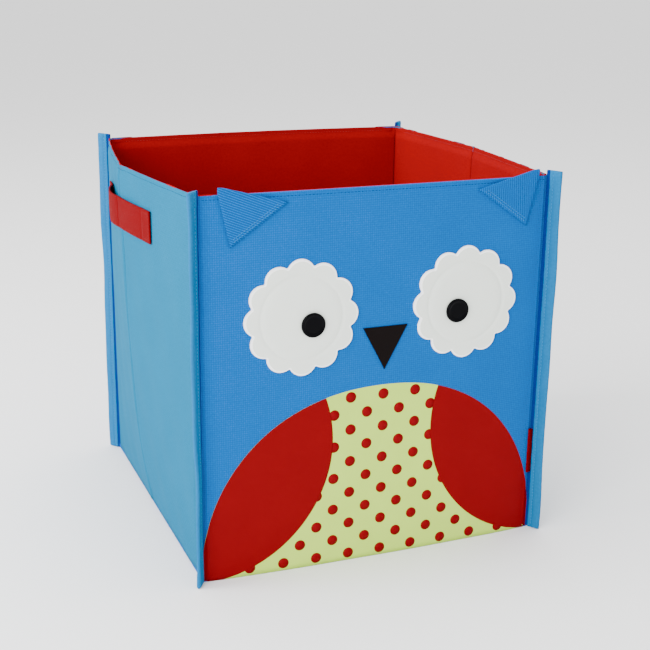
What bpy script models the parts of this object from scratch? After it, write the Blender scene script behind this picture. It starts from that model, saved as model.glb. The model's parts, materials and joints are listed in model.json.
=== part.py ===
"""Collapsible fabric storage bin with an animal's face. Metres, +Z up.

The origin is on the floor under the middle of the bin, and the face looks along -Y.
Board panels in sewn canvas pockets fold flat towards the front wall, which stays still.
"""
import math

import bmesh
import bpy
from mathutils import Vector

# Overall size over the faces of the walls
WIDTH = 0.325
DEPTH = 0.325
HEIGHT = 0.338

# Layers of a wall, from outside to inside
CANVAS = 0.0010
BOARD = 0.0025
LINING = 0.0008
HEM = 0.0045            # from a board's edge to the edge of its sewn pocket
GAP = 0.0003            # between pieces that lie on each other
FOLD_GAP = 0.0006       # between panels that swing past each other

# Corner bindings, which stand out at 45 degrees over the corner seams
BINDING_WIDTH = 0.0117
BINDING_THICKNESS = 0.0037
BINDING_RISE = 0.0045   # above the rim
BINDING_PASS = 0.0005   # between a binding and what lies or slides beside it

# Webbing handles, one on each side, centred on the side's fold line
STRAP_LENGTH = 0.153
STRAP_WIDTH = 0.0285
STRAP_THICKNESS = 0.0018
STRAP_DROP = 0.0283     # from the rim to the strap's upper edge
STRAP_PATCH = 0.018     # sewn flat at each end
STRAP_SLOPE = 0.020     # run over which the strap leaves the wall
FINGER_GAP = 0.0062     # behind the strap's middle

# Base cloth and the stiff insert that lies on it
BASE_CLOTH = 0.0008
BASE_LIP = 0.0010       # thickness of the base cloth's turned-up margin
INSERT_BOARD = 0.0025
INSERT_CLOTH = 0.0006
INSERT_CLEARANCE = 0.0015   # between the insert and the lining round it

# The face is drawn for a panel of this size and scaled to fit the front wall
FACE_PANEL_WIDTH = 0.325
FACE_PANEL_HEIGHT = 0.338
FACE_SCALE = min(WIDTH / FACE_PANEL_WIDTH, HEIGHT / FACE_PANEL_HEIGHT)
FACE_SHIFT = 0.004 * FACE_SCALE     # of the face's middle from the wall's middle
FILM = 0.0004           # belly and wings
EYE_SPACING = 0.153 * FACE_SCALE
EYE_LEVEL = 0.231 * FACE_SCALE
EYE_DIAMETER = 0.104 * FACE_SCALE
EYE_LOBES = 12
LOBE_DEPTH = 0.0060 * FACE_SCALE
EYE_PATCH = 0.0016
BUTTON_DIAMETER = 0.0215
BUTTON_THICKNESS = 0.0032
BUTTON_INWARD = 0.0092 * FACE_SCALE
BUTTON_BELOW = 0.0061 * FACE_SCALE
BEAK_WIDTH = 0.0415 * FACE_SCALE
BEAK_HEIGHT = 0.0385 * FACE_SCALE
BEAK_TOP = 0.2165 * FACE_SCALE
BEAK_FELT = 0.0010
BELLY_TOP = 0.1635 * FACE_SCALE
BELLY_POWER = 2.2
BELLY_MARGIN = 0.0020   # from the belly's sides to the wall's edges
BELLY_FOOT = 0.0012     # from the floor to the belly's lower edge
WING_RADIUS = 0.1195 * FACE_SCALE
WING_OUT = 0.1665 * FACE_SCALE
WING_LEVEL = 0.1180 * FACE_SCALE

# Ears: flaps sewn down along their lower edge
EAR_THICKNESS = 0.0016
EAR_INNER = (0.0866 * FACE_SCALE, 0.0080)    # from the face's middle, below the rim
EAR_OUTER = (0.1361 * FACE_SCALE, 0.0430 * FACE_SCALE)
EAR_TIP = (0.1494 * FACE_SCALE, -0.0085)
EAR_TIP_RADIUS = 0.0040

# Side tab, folded into the front right seam
TAB_WIDTH = 0.0055
TAB_HEIGHT = 0.043
TAB_FOOT = 0.057
TAB_THICKNESS = 0.0010

# Worked out from the sizes above
WALL = CANVAS + GAP + BOARD + GAP + LINING
INSERT = 2 * (INSERT_CLOTH + GAP) + INSERT_BOARD
INSERT_FOOT = BASE_CLOTH + GAP
INSERT_TOP = INSERT_FOOT + INSERT
WALL_FOOT = INSERT_TOP + GAP
INNER_EDGE = WIDTH / 2 - WALL - FOLD_GAP
BINDING_INSET = (BINDING_THICKNESS / 2 - GAP) * math.sqrt(0.5) + BINDING_PASS
FRONT = -DEPTH / 2
BACK = DEPTH / 2
HINGE_X = WIDTH / 2 - WALL - FOLD_GAP / 2
FRONT_HINGE_Y = FRONT + WALL + INSERT + 1.5 * FOLD_GAP
REAR_HINGE_Y = BACK - WALL - FOLD_GAP / 2
CREASE_X = WIDTH / 2 + STRAP_THICKNESS + GAP
CREASE_Y = (FRONT_HINGE_Y + REAR_HINGE_Y) / 2
INSERT_HINGE_Y = FRONT + WALL + FOLD_GAP

SIDES = (("left", -1), ("right", 1))
BIN = "fabric_storage_bin"


def collection(name):
    """Adds a collection to the scene and returns it."""
    made = bpy.data.collections.new(name)
    bpy.context.scene.collection.children.link(made)
    return made


def material(name, colour, roughness):
    """A Principled BSDF with a plain colour."""
    made = bpy.data.materials.new(name)
    made.use_nodes = True
    shader = made.node_tree.nodes["Principled BSDF"]
    shader.inputs["Base Color"].default_value = (*colour, 1.0)
    shader.inputs["Roughness"].default_value = roughness
    return made


def hinge_point(name, place, parent=None):
    """An empty on a hinge's axis, which the pieces that swing there hang on."""
    empty = bpy.data.objects.new(name, None)
    empty.empty_display_size = 0.02
    bpy.data.collections[BIN].objects.link(empty)
    empty.location = place
    hang(empty, parent)
    return empty


def hang(piece, parent):
    """Parents a piece to an empty and leaves it where it is."""
    if parent is not None:
        bpy.context.view_layer.update()
        piece.parent = parent
        piece.matrix_parent_inverse = parent.matrix_world.inverted()


def add(name, data, finish, parent=None, place=(0, 0, 0), turn=(0, 0, 0)):
    """Puts a mesh or curve into the bin's collection as one named piece."""
    piece = bpy.data.objects.new(name, data)
    bpy.data.collections[BIN].objects.link(piece)
    piece.location = place
    piece.rotation_euler = turn
    if finish is not None:
        data.materials.append(finish)
    hang(piece, parent)
    return piece


def box_mesh(name, size):
    """A box with its middle at the origin."""
    mesh = bpy.data.meshes.new(name)
    shape = bmesh.new()
    bmesh.ops.create_cube(shape, size=1.0)
    bmesh.ops.scale(shape, vec=size, verts=shape.verts)
    shape.to_mesh(mesh)
    shape.free()
    return mesh


def box(name, low, high, finish, parent=None):
    """A box between two opposite corners, given in any order."""
    size = [abs(b - a) for a, b in zip(low, high)]
    middle = [(a + b) / 2 for a, b in zip(low, high)]
    return add(name, box_mesh(name, size), finish, parent, middle)


def flat_piece(name, outline, thickness, behind, finish, parent=None):
    """A flat piece that stands upright, its rear face `behind`, with (x, z) outline."""
    curve = bpy.data.curves.new(name, "CURVE")
    curve.dimensions = "2D"
    curve.fill_mode = "BOTH"
    curve.extrude = thickness / 2
    spline = curve.splines.new("POLY")
    spline.points.add(len(outline) - 1)
    for point, (x, z) in zip(spline.points, outline):
        point.co = (x, z, 0.0, 1.0)
    spline.use_cyclic_u = True
    place = (0, behind - thickness / 2, 0)
    return add(name, curve, finish, parent, place, (math.radians(90), 0, 0))


def as_mesh(piece):
    """Turns a curve piece into a mesh piece with welded caps, and returns it."""
    bpy.context.view_layer.update()
    graph = bpy.context.evaluated_depsgraph_get()
    mesh = bpy.data.meshes.new_from_object(piece.evaluated_get(graph))
    shape = bmesh.new()
    shape.from_mesh(mesh)
    bmesh.ops.remove_doubles(shape, verts=shape.verts, dist=0.00001)
    shape.to_mesh(mesh)
    shape.free()
    name = piece.name
    curve = piece.data
    made = bpy.data.objects.new(name + "_mesh", mesh)
    bpy.data.collections[BIN].objects.link(made)
    made.matrix_world = piece.matrix_world
    bpy.data.objects.remove(piece)
    bpy.data.curves.remove(curve)
    made.name = name
    return made


def cut(piece, cutter, operation):
    """Adds a Boolean with a cutter, which stays out of the bin's collection."""
    for owner in list(cutter.users_collection):
        owner.objects.unlink(cutter)
    bpy.data.collections["cutters"].objects.link(cutter)
    cutter.hide_render = True
    cutter.display_type = "WIRE"
    change = piece.modifiers.new("cut", "BOOLEAN")
    change.object = cutter
    change.operation = operation
    change.solver = "EXACT"


def rounded(outline, corner, radius, steps=6):
    """The outline with one corner replaced by an arc."""
    before = Vector(outline[corner - 1])
    point = Vector(outline[corner])
    after = Vector(outline[(corner + 1) % len(outline)])
    to_before = (before - point).normalized()
    to_after = (after - point).normalized()
    half = to_before.angle(to_after) / 2
    run = radius / math.tan(half)
    centre = point + (to_before + to_after).normalized() * (radius / math.sin(half))
    start = (point + to_before * run) - centre
    end = (point + to_after * run) - centre
    turn = end.angle_signed(start)
    arc = []
    for step in range(steps + 1):
        angle = turn * step / steps
        arc.append((centre.x + start.x * math.cos(angle) - start.y * math.sin(angle),
                    centre.y + start.x * math.sin(angle) + start.y * math.cos(angle)))
    return outline[:corner] + arc + outline[corner + 1:]


def front_wall(canvas, board, lining):
    """The standing wall: canvas to the corners, board and lining between the sides."""
    box("front_outer", (-WIDTH / 2, FRONT, 0), (WIDTH / 2, FRONT + CANVAS, HEIGHT), canvas)
    depth = FRONT + CANVAS + GAP
    box("front_board", (HEM - INNER_EDGE, depth, INSERT_FOOT + HEM),
        (INNER_EDGE - HEM, depth + BOARD, HEIGHT - HEM), board)
    depth += BOARD + GAP
    box("front_lining", (-INNER_EDGE, depth, INSERT_FOOT),
        (INNER_EDGE, depth + LINING, HEIGHT), lining)


def back_wall(canvas, board, lining, parent):
    """The wall that travels towards the front when the sides fold in."""
    box("back_outer", (-WIDTH / 2, BACK - CANVAS, WALL_FOOT), (WIDTH / 2, BACK, HEIGHT),
        canvas, parent)
    depth = BACK - CANVAS - GAP
    box("back_board", (HEM - INNER_EDGE, depth - BOARD, WALL_FOOT + HEM),
        (INNER_EDGE - HEM, depth, HEIGHT - HEM), board, parent)
    depth -= BOARD + GAP
    box("back_lining", (-INNER_EDGE, depth - LINING, WALL_FOOT),
        (INNER_EDGE, depth, HEIGHT), lining, parent)


def side_half(side, sign, half, canvas, board, lining, parent):
    """One half of a folding side wall, in front of or behind its fold line."""
    ends = (FRONT + CANVAS + GAP, CREASE_Y - FOLD_GAP / 2)
    if half == "rear":
        ends = (CREASE_Y + FOLD_GAP / 2, BACK - CANVAS - GAP)
    depth = 0.0
    for layer, thickness, inset, finish in (("outer", CANVAS, 0.0, canvas),
                                            ("board", BOARD, HEM, board),
                                            ("lining", LINING, 0.0, lining)):
        box(f"{side}_{half}_{layer}",
            (sign * (WIDTH / 2 - depth), ends[0] + inset, WALL_FOOT + inset),
            (sign * (WIDTH / 2 - depth - thickness), ends[1] - inset, HEIGHT - inset),
            finish, parent)
        depth += thickness + GAP


def strap_stand(along):
    """How far the strap's inner face stands off the wall at a distance from the fold."""
    rise = (STRAP_LENGTH / 2 - STRAP_PATCH - along) / STRAP_SLOPE
    rise = min(max(rise, 0.0), 1.0)
    return GAP + (FINGER_GAP - GAP) * rise * rise * (3 - 2 * rise)


def strap_half(side, sign, half, webbing, parent):
    """Half of a handle: the webbing meets its other half at the wall's fold line."""
    segments = 14
    mesh = bpy.data.meshes.new(f"{side}_handle_{half}")
    shape = bmesh.new()
    bmesh.ops.create_grid(shape, x_segments=segments, y_segments=1, size=0.5)
    run = STRAP_LENGTH / 2 - FOLD_GAP / 2
    along_sign = -1 if half == "front" else 1
    for vert in shape.verts:
        along = FOLD_GAP / 2 + run * (vert.co.x + 0.5)
        height = HEIGHT - STRAP_DROP - STRAP_WIDTH * (0.5 - vert.co.y)
        vert.co = (sign * (WIDTH / 2 + strap_stand(along)), CREASE_Y + along_sign * along, height)
    bmesh.ops.recalc_face_normals(shape, faces=shape.faces)
    if shape.faces[:][0].normal.x * sign < 0:
        bmesh.ops.reverse_faces(shape, faces=shape.faces)
    shape.to_mesh(mesh)
    shape.free()
    piece = add(f"{side}_handle_{half}", mesh, webbing, parent)
    thicken = piece.modifiers.new("webbing", "SOLIDIFY")
    thicken.thickness = STRAP_THICKNESS
    thicken.offset = 1.0
    return piece


def binding(name, x_sign, y_sign, foot, finish, parent=None):
    """The bound seam of one corner: a strip that points out along the diagonal."""
    reach = GAP + BINDING_WIDTH / 2
    top = HEIGHT + BINDING_RISE
    place = (x_sign * (WIDTH / 2 + reach * math.sqrt(0.5)),
             y_sign * (DEPTH / 2 + reach * math.sqrt(0.5)), (foot + top) / 2)
    mesh = box_mesh(name, (BINDING_WIDTH, BINDING_THICKNESS, top - foot))
    add(name, mesh, finish, parent, place, (0, 0, math.atan2(y_sign, x_sign)))


def base(canvas):
    """The cloth under the bin, with a margin turned up on three sides."""
    half = WIDTH / 2 - BINDING_INSET
    rear = BACK - BINDING_INSET
    lip_top = WALL_FOOT - GAP
    panel = box("base_panel", (-half, FRONT + CANVAS + GAP, 0), (half, rear, lip_top), canvas)
    inside = half - BASE_LIP
    hollow = box("base_hollow", (-inside, FRONT - CANVAS, BASE_CLOTH),
                 (inside, rear - BASE_LIP, 2 * lip_top), None)
    cut(panel, hollow, "DIFFERENCE")


def insert(board, lining, parent):
    """The stiff base insert: a board in a cloth sleeve that is open left and right."""
    half = WIDTH / 2 - WALL - INSERT_CLEARANCE
    rear = BACK - WALL - INSERT_CLEARANCE
    sleeve = box("insert_cover", (-half, INSERT_HINGE_Y, INSERT_FOOT), (half, rear, INSERT_TOP),
                 lining, parent)
    shell = INSERT_CLOTH
    hollow = box("insert_hollow", (-half - GAP, INSERT_HINGE_Y + shell, INSERT_FOOT + shell),
                 (half + GAP, rear - shell, INSERT_TOP - shell), None)
    cut(sleeve, hollow, "DIFFERENCE")
    shell += GAP
    box("insert_board", (HEM - half, INSERT_HINGE_Y + shell, INSERT_FOOT + shell),
        (half - HEM, rear - shell, INSERT_TOP - shell), board, parent)


def belly_outline():
    """Half of a broad superellipse that stands on the wall's lower edge."""
    points = []
    steps = 56
    height = BELLY_TOP - BELLY_FOOT
    for step in range(steps + 1):
        angle = math.pi * step / steps
        side = math.copysign(1.0, math.cos(angle))
        reach = WIDTH / 2 - BELLY_MARGIN - side * FACE_SHIFT
        across = abs(math.cos(angle)) ** (2 / BELLY_POWER)
        up = abs(math.sin(angle)) ** (2 / BELLY_POWER)
        points.append((FACE_SHIFT + side * reach * across, BELLY_FOOT + height * up))
    return points


def eye_outline(x):
    """A disc with an edge of equal round lobes that meet in sharp notches."""
    outer = EYE_DIAMETER / 2
    notch = outer - LOBE_DEPTH
    half_lobe = math.pi / EYE_LOBES
    centre = (outer ** 2 - notch ** 2) / (2 * (outer - notch * math.cos(half_lobe)))
    lobe_radius = outer - centre
    steps_per_lobe = 10
    points = []
    for step in range(EYE_LOBES * steps_per_lobe):
        angle = 2 * half_lobe * step / steps_per_lobe
        off = angle % (2 * half_lobe) - half_lobe
        side = centre * math.sin(off)
        radius = centre * math.cos(off) + math.sqrt(lobe_radius ** 2 - side ** 2)
        points.append((x + radius * math.cos(angle), EYE_LEVEL + radius * math.sin(angle)))
    return points


def button(name, x, z, behind, finish):
    """A round button with a raised rim, turned about its own axis."""
    radius = BUTTON_DIAMETER / 2
    rim = radius * 0.16
    profile = [(0.0, BUTTON_THICKNESS * 0.78), (radius - 2.2 * rim, BUTTON_THICKNESS * 0.74),
               (radius - 1.4 * rim, BUTTON_THICKNESS), (radius - 0.5 * rim, BUTTON_THICKNESS),
               (radius, BUTTON_THICKNESS - 0.6 * rim), (radius, 0.3 * rim),
               (radius - 0.3 * rim, 0.0), (0.0, 0.0)]
    mesh = bpy.data.meshes.new(name)
    edges = [(i, i + 1) for i in range(len(profile) - 1)]
    mesh.from_pydata([(r, 0.0, h) for r, h in profile], edges, [])
    piece = add(name, mesh, finish, None, (x, behind, z), (math.radians(90), 0, 0))
    turn = piece.modifiers.new("turned", "SCREW")
    turn.steps = 32
    turn.render_steps = 32
    turn.use_merge_vertices = True
    turn.merge_threshold = 0.00001
    turn.use_normal_calculate = True
    return piece


def face(cream, red, black, white, gloss):
    """The belly, wings, eyes and beak on the front wall."""
    surface = FRONT - GAP
    flat_piece("belly_patch", belly_outline(), FILM, surface, cream)
    above_belly = surface - FILM - GAP
    for side, sign in SIDES:
        wing = as_mesh(flat_piece(f"{side}_wing", belly_outline(), FILM, above_belly, red))
        mesh = bpy.data.meshes.new(f"{side}_wing_circle")
        shape = bmesh.new()
        bmesh.ops.create_cone(shape, cap_ends=True, segments=96, radius1=WING_RADIUS,
                              radius2=WING_RADIUS, depth=10 * FILM)
        shape.to_mesh(mesh)
        shape.free()
        circle = add(f"{side}_wing_circle", mesh, None, None,
                     (FACE_SHIFT + sign * WING_OUT, above_belly, WING_LEVEL),
                     (math.radians(90), 0, 0))
        cut(wing, circle, "INTERSECT")
        x = FACE_SHIFT + sign * EYE_SPACING / 2
        flat_piece(f"{side}_eye_patch", eye_outline(x), EYE_PATCH, surface, white)
        button(f"{side}_eye_button", x - sign * BUTTON_INWARD, EYE_LEVEL - BUTTON_BELOW,
               surface - EYE_PATCH - GAP, gloss)
    beak = [(FACE_SHIFT - BEAK_WIDTH / 2, BEAK_TOP), (FACE_SHIFT + BEAK_WIDTH / 2, BEAK_TOP),
            (FACE_SHIFT, BEAK_TOP - BEAK_HEIGHT)]
    flat_piece("beak", beak, BEAK_FELT, surface, black)


def ear(side, sign, canvas):
    """A triangular flap that turns about its sewn lower edge."""
    inner, outer, tip = [(FACE_SHIFT / 2 + sign * across, HEIGHT - below)
                         for across, below in (EAR_INNER, EAR_OUTER, EAR_TIP)]
    behind = FRONT - GAP
    pivot = hinge_point(f"{side}_ear_hinge", (outer[0], behind - EAR_THICKNESS, outer[1]))
    outline = rounded([inner, tip, outer], 1, EAR_TIP_RADIUS)
    flat_piece(f"{side}_ear", outline, EAR_THICKNESS, behind, canvas, pivot)


def tab(webbing):
    """A plain folded tab held in the front right corner's seam."""
    edge = WIDTH / 2 - BINDING_INSET
    box("side_tab", (edge - TAB_WIDTH, FRONT - GAP - TAB_THICKNESS, TAB_FOOT),
        (edge, FRONT - GAP, TAB_FOOT + TAB_HEIGHT), webbing)


def main():
    """Builds every piece of the bin."""
    for old in list(bpy.data.objects):
        bpy.data.objects.remove(old)
    collection(BIN)
    collection("cutters")
    canvas = material("blue_canvas", (0.05, 0.30, 0.60), 0.85)
    tape = material("blue_binding_tape", (0.05, 0.35, 0.68), 0.75)
    lining = material("red_lining", (0.55, 0.02, 0.02), 0.80)
    webbing = material("red_webbing", (0.65, 0.02, 0.03), 0.75)
    board = material("grey_board", (0.35, 0.30, 0.24), 0.90)
    cream = material("cream_film", (0.85, 0.81, 0.55), 0.55)
    red = material("red_film", (0.42, 0.01, 0.02), 0.50)
    white = material("white_leatherette", (0.80, 0.80, 0.76), 0.60)
    black = material("black_felt", (0.02, 0.015, 0.012), 0.80)
    gloss = material("black_button", (0.01, 0.01, 0.012), 0.15)

    front_wall(canvas, board, lining)
    face(cream, red, black, white, gloss)
    tab(webbing)
    base(canvas)
    insert_hinge = hinge_point("insert_hinge", (0, INSERT_HINGE_Y, INSERT_TOP))
    insert(board, lining, insert_hinge)
    crease = {}
    for side, sign in SIDES:
        ear(side, sign, canvas)
        binding(f"front_{side}_binding", sign, -1, 0, tape)
        corner = hinge_point(f"{side}_corner", (sign * HINGE_X, FRONT_HINGE_Y, WALL_FOOT))
        crease[side] = hinge_point(f"{side}_crease", (sign * CREASE_X, CREASE_Y, WALL_FOOT), corner)
        for half, pivot in (("front", corner), ("rear", crease[side])):
            side_half(side, sign, half, canvas, board, lining, pivot)
            strap_half(side, sign, half, webbing, pivot)
    rear_corner = hinge_point("rear_corner", (-HINGE_X, REAR_HINGE_Y, WALL_FOOT), crease["left"])
    back_wall(canvas, board, lining, rear_corner)
    for side, sign in SIDES:
        binding(f"rear_{side}_binding", sign, 1, WALL_FOOT, tape, rear_corner)


main()
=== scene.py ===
"""The looks of a folding fabric storage bin with an animal's face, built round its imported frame.

Every place is read from the frame, in metres. Panels are sheets of cloth over stiff boards,
so each one is a grid of points bent by a few named reliefs, and Solidify gives it thickness.
"""

import json
import math

import bpy
import numpy as np
from mathutils import Matrix, Vector

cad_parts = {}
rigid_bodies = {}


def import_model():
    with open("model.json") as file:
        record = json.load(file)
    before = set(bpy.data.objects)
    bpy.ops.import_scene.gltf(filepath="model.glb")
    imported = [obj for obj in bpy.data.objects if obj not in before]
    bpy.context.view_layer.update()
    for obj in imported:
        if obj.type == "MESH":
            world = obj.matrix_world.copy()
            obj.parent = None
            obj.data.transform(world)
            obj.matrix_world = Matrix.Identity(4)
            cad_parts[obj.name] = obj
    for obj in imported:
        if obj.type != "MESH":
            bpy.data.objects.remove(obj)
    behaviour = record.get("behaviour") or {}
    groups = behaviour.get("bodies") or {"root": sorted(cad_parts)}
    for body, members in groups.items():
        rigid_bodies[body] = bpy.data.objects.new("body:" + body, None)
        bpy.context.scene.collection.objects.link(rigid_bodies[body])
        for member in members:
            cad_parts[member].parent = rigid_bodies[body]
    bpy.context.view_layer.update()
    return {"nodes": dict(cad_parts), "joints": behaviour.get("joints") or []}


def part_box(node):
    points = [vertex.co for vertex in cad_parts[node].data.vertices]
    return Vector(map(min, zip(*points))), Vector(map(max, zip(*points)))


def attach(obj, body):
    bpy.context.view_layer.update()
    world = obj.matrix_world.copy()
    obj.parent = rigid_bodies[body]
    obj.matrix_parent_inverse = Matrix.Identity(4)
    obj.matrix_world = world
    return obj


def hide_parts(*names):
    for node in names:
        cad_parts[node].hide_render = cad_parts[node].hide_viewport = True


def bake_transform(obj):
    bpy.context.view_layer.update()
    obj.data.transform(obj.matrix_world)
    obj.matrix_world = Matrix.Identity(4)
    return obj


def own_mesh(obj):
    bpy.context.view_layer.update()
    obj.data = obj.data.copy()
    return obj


for left_over in list(bpy.data.objects):
    bpy.data.objects.remove(left_over)
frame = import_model()

bl_info = {
    "name": "Folding Fabric Bin",
    "version": (1, 0, 0),
    "blender": (4, 5, 0),
    "location": "View3D > Sidebar > Fabric Bin",
    "description": "Canvas, lining, face, handles and stage of a folding fabric storage bin",
    "category": "Object",
}

MM = 0.001

# Places that the frame gives
HALF_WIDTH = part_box("front_outer")[1].x
FRONT_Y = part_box("front_outer")[0].y
BACK_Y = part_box("back_outer")[1].y
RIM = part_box("front_outer")[1].z
WALL_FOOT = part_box("back_outer")[0].z
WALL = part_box("front_lining")[1].y - FRONT_Y
INNER_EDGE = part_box("front_lining")[1].x
CREASE_Y = (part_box("left_front_outer")[1].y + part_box("left_rear_outer")[0].y) / 2
BELLY_LOW, BELLY_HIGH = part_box("belly_patch")
BELLY_HEM = 0.2 * MM        # the belly's cloth runs down to just over the floor
SEAM = 3.2 * MM             # how far in from a corner its seam lies
CORNER_CLOTH = 14 * MM      # width of the cloth beside a seam, past the board's edge
FACE_X = sum(corner.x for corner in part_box("beak")) / 2
SIDES = (("left", -1), ("right", 1))
HALVES = (("front", -1), ("rear", 1))
END_Y = {"front": FRONT_Y, "rear": BACK_Y}

# How the cloth is cut and sewn
RIM_STITCHES = 3.8 * MM     # how far below the rim its stitches run
CANVAS_TURN = 1.2 * MM      # radius of the canvas's turn over the rim
LINING_TURN = 0.8 * MM      # radius of the lining's turn over the rim
UNDER_CANVAS = 1.1 * MM     # how far behind the canvas's face the lining ends
SLACK_FADE = 0.02           # length over which a lining's slack grows from a fold
TAPE_WIDTH = 15.0 * MM      # how far a corner tape reaches from its seam
TAPE_HALF = 1.7 * MM        # half of its thickness
EAR_TIP = 0.90          # share of an ear's height where its tip starts to round
# Eye patches: how far each is turned, its lobes, its thickness and its stitched ring
EYE_TURN = {"left": math.radians(16), "right": math.radians(14)}
EYE_LOBES = 12
LOBE_NOTCH = 6.2 * MM       # how far in from the lobes' tips the patch is cut between them
EYE_THICKNESS = 2.3 * MM
EYE_RING = 36.5 * MM
# Degrees by which each tape points to the front or back, at its foot and at the rim
TAPE_TURN = {"front_left": (60, 45), "front_right": (60, 60), "rear_left": (50, 50),
             "rear_right": (50, 50)}
# The arc of a wing's inner edge, and the dots of the belly
WING_RADIUS = 119.5 * MM
WING_LEVEL = 118.0 * MM
DOT_RADIUS = 4.95 * MM
DOT_PITCH = 15.3 * MM
DOT_ROW = 14.8 * MM
SEWING = 2.6 * MM           # stitch length on ears and handles
MATT_CLOTH = {"Roughness": 0.85, "Specular_IOR_Level": 0.06}


def linear(code):
    """An sRGB hex colour as linear red, green and blue."""
    channels = [int(code[i:i + 2], 16) / 255 for i in (0, 2, 4)]
    return tuple(c / 12.92 if c <= 0.04045 else ((c + 0.055) / 1.055) ** 2.4 for c in channels)


def length_property(name, description, default):
    """A length in metres that a user can change."""
    return bpy.props.FloatProperty(name=name, description=description, default=default, min=0.0,
                                   unit="LENGTH", precision=4)


def colour_property(name, description, code):
    """A colour that a user can change, given as sRGB hex."""
    return bpy.props.FloatVectorProperty(name=name, description=description, size=3, subtype="COLOR",
                                         min=0.0, max=1.0, default=linear(code))


class BinShape(bpy.types.PropertyGroup):
    """How the cloth stands on its boards."""

    left_bulge: length_property("Left bulge", "How far the left wall's fold line bows out", 24 * MM)
    right_bulge: length_property("Right bulge", "How far the right wall's fold line bows out", 13 * MM)
    back_bulge: length_property("Back bulge", "How far the back wall's rim bows out", 8 * MM)
    crown: length_property("Front crown", "How far the front wall's middle stands out", 3.6 * MM)
    round_over: length_property("Round over", "How far a wall's edges round back", 1.6 * MM)
    canvas: length_property("Canvas", "Thickness of the outer canvas", 1.0 * MM)
    lining: length_property("Lining", "Thickness of the lining", 0.6 * MM)
    stand_off: length_property("Handle stand-off", "Gap behind the middle of a handle", 4.6 * MM)
    stitch: length_property("Stitch", "Length from one stitch to the next", 3.1 * MM)
    ear_curl: length_property("Ear curl", "How far an ear's tip stands off the wall", 2.4 * MM)


class BinColours(bpy.types.PropertyGroup):
    """The colours of the cloths."""

    front: colour_property("Front canvas", "Dyed canvas of the front and back", "00559E")
    side: colour_property("Side canvas", "Dyed canvas of the folding sides", "006285")
    tape: colour_property("Binding tape", "Tape over the corner seams", "006193")
    lining: colour_property("Lining", "Cloth inside the bin", "860006")
    webbing: colour_property("Webbing", "Handles and side tab", "670006")
    belly: colour_property("Belly", "Coated cloth of the belly", "AFCE50")
    wing: colour_property("Wings", "Coated cloth of the wings", "6F0007")
    dot: colour_property("Dots", "Ink of the belly's dots", "730009")
    patch: colour_property("Eye patches", "Soft leatherette round the eyes", "DDE3DB")


# ---------------------------------------------------------------- mesh helpers


def piece(name, points, faces, finish, body):
    """One mesh object with a finish, which rides on a body."""
    mesh = bpy.data.meshes.new(name)
    mesh.from_pydata(np.asarray(points, float).reshape(-1, 3).tolist(), [], faces)
    mesh.validate()
    mesh.shade_smooth()
    mesh.materials.append(finish)
    made = bpy.data.objects.new(name, mesh)
    bpy.context.scene.collection.objects.link(made)
    if body:
        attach(made, body)
    return made


def grid_faces(rows, columns, closed=False):
    """Quads of a grid. Columns run to the right and rows up, seen from outside."""
    index = np.arange(rows * columns).reshape(rows, columns)
    if closed:
        index = np.concatenate([index, index[:, :1]], axis=1)
    quads = np.stack([index[:-1, :-1], index[:-1, 1:], index[1:, 1:], index[1:, :-1]], axis=-1)
    return quads.reshape(-1, 4).tolist()


def sheet(name, points, finish, body, thickness, inside=None):
    """A sheet of cloth whose outer face is a grid of points, thickened inwards. Its inner
    face can have a finish of its own."""
    rows, columns = points.shape[:2]
    made = piece(name, points, grid_faces(rows, columns), finish, body)
    cloth = made.modifiers.new("cloth thickness", "SOLIDIFY")
    cloth.thickness = thickness
    cloth.offset = -1.0
    if inside:
        made.data.materials.append(inside)
        cloth.material_offset = 1
    return made


def smoothstep(value):
    """0 below 0, 1 above 1, and a smooth rise between."""
    value = np.clip(value, 0.0, 1.0)
    return value * value * (3 - 2 * value)


def ripple(across, up, size, seed):
    """Slack in a cloth: a few long waves that never line up, at most about size high."""
    total = np.zeros(np.broadcast(across, up).shape)
    for step in range(5):
        turn = seed * 1.7 + step * 2.4
        wide = 2 * math.pi / (0.045 + 0.021 * step)
        tall = 2 * math.pi / (0.120 + 0.047 * ((step * 3) % 5))
        total += np.sin(wide * across * math.cos(turn) + tall * up + turn) / (1.3 + step)
    return size * total / 2


def near(distance, width):
    """1 at distance 0, falling away over about width."""
    return np.exp(-(distance / width) ** 2)


# ---------------------------------------------------------------- stitches


def stitch_places(line, outward, pitch):
    """Where each stitch of a line lies: its middle, its direction and the way out."""
    line = np.asarray(line, float)
    outward = np.broadcast_to(np.asarray(outward, float), line.shape)
    steps = np.linalg.norm(np.diff(line, axis=0), axis=1)
    run = np.concatenate([[0.0], np.cumsum(steps)])
    count = max(int(run[-1] / pitch), 1)
    at = (np.arange(count) + 0.5) * run[-1] / count

    def taken(values, places):
        return np.stack([np.interp(places, run, values[:, i]) for i in range(3)], axis=1)

    ahead = taken(line, at + pitch / 4) - taken(line, at - pitch / 4)
    return taken(line, at), ahead, taken(outward, at)


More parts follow.
